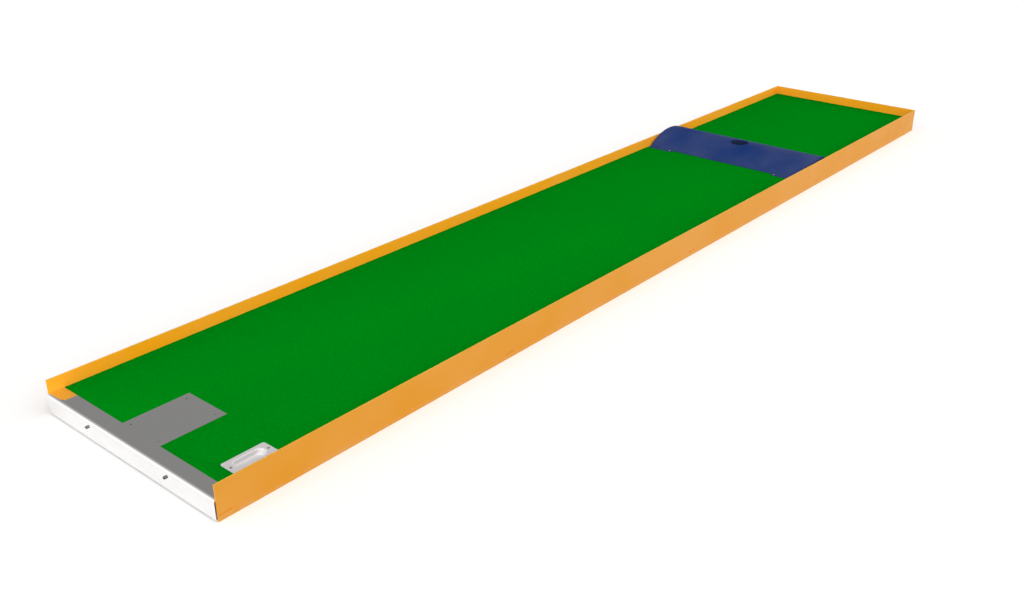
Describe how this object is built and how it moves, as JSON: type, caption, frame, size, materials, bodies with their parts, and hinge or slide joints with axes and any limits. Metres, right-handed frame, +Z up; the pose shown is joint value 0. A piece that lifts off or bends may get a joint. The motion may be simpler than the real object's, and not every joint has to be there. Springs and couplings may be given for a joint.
{
  "type": "practice putting lane",
  "caption": "Railed practice putting lane: green carpet, steel tee sheet, spare-ball tray and a curved hump with a cup at its crest, on levelling feet.",
  "frame": {"origin": "middle of the lane on the floor, below the carpet's centre", "axes": "+Y along the lane from the tee end to the far end, +X to the player's right, +Z up"},
  "size_m": [0.9, 5, 0.144],
  "materials": {
    "rail_paint": "orange powder coat, satin",
    "stainless_sheet": "polished stainless sheet",
    "tray_steel": "satin stainless pressing",
    "frame_steel": "galvanised",
    "carpet_green": "short dense pile, green",
    "board_ply": "sealed plywood",
    "packer_plastic": "grey sheet plastic",
    "hump_paint": "blue powder coat, satin",
    "cup_paint": "dark blue coat, matt",
    "fastener_steel": "stainless fasteners",
    "zinc_steel": "zinc plated",
    "pad_rubber": "moulded rubber"
  },
  "bodies": {
    "lane": {"left_rail": "rail_paint", "right_rail": "rail_paint", "end_rail": "rail_paint", "left_ledge": "frame_steel", "right_ledge": "frame_steel", "cross_member_1": "frame_steel", "cross_member_2": "frame_steel", "cross_member_3": "frame_steel", "cross_member_4": "frame_steel", "cross_member_5": "frame_steel", "battens": "frame_steel", "corner_gussets": "frame_steel", "deck_board_front": "board_ply", "deck_board_middle": "board_ply", "deck_board_rear": "board_ply", "deck_screws": "zinc_steel", "carpet": "carpet_green", "tee_sheet": "stainless_sheet", "tee_packer": "packer_plastic", "tee_screws": "fastener_steel", "front_bolts": "fastener_steel", "front_bolt_nuts": "zinc_steel", "front_bolt_spacers": "zinc_steel", "ball_tray": "tray_steel", "tray_packer": "packer_plastic", "tray_screws": "fastener_steel", "hump_shell": "hump_paint", "hump_ends": "hump_paint", "hump_tabs": "hump_paint", "hump_screws": "fastener_steel", "cup_liner": "cup_paint", "foot_nuts": "zinc_steel"},
    "foot_front_left": {"foot_stud_front_left": "zinc_steel", "foot_pad_front_left": "pad_rubber"},
    "foot_front_right": {"foot_stud_front_right": "zinc_steel", "foot_pad_front_right": "pad_rubber"},
    "foot_middle_left": {"foot_stud_middle_left": "zinc_steel", "foot_pad_middle_left": "pad_rubber"},
    "foot_middle_right": {"foot_stud_middle_right": "zinc_steel", "foot_pad_middle_right": "pad_rubber"},
    "foot_rear_left": {"foot_stud_rear_left": "zinc_steel", "foot_pad_rear_left": "pad_rubber"},
    "foot_rear_right": {"foot_stud_rear_right": "zinc_steel", "foot_pad_rear_right": "pad_rubber"}
  },
  "joints": [
    {"name": "foot_front_left_height", "type": "slide", "parent": "lane", "child": "foot_front_left", "axis": [0, 0, -1], "range_m": [0, 0.015]},
    {"name": "foot_front_right_height", "type": "slide", "parent": "lane", "child": "foot_front_right", "axis": [0, 0, -1], "range_m": [0, 0.015]},
    {"name": "foot_middle_left_height", "type": "slide", "parent": "lane", "child": "foot_middle_left", "axis": [0, 0, -1], "range_m": [0, 0.015]},
    {"name": "foot_middle_right_height", "type": "slide", "parent": "lane", "child": "foot_middle_right", "axis": [0, 0, -1], "range_m": [0, 0.015]},
    {"name": "foot_rear_left_height", "type": "slide", "parent": "lane", "child": "foot_rear_left", "axis": [0, 0, -1], "range_m": [0, 0.015]},
    {"name": "foot_rear_right_height", "type": "slide", "parent": "lane", "child": "foot_rear_right", "axis": [0, 0, -1], "range_m": [0, 0.015]}
  ]
}
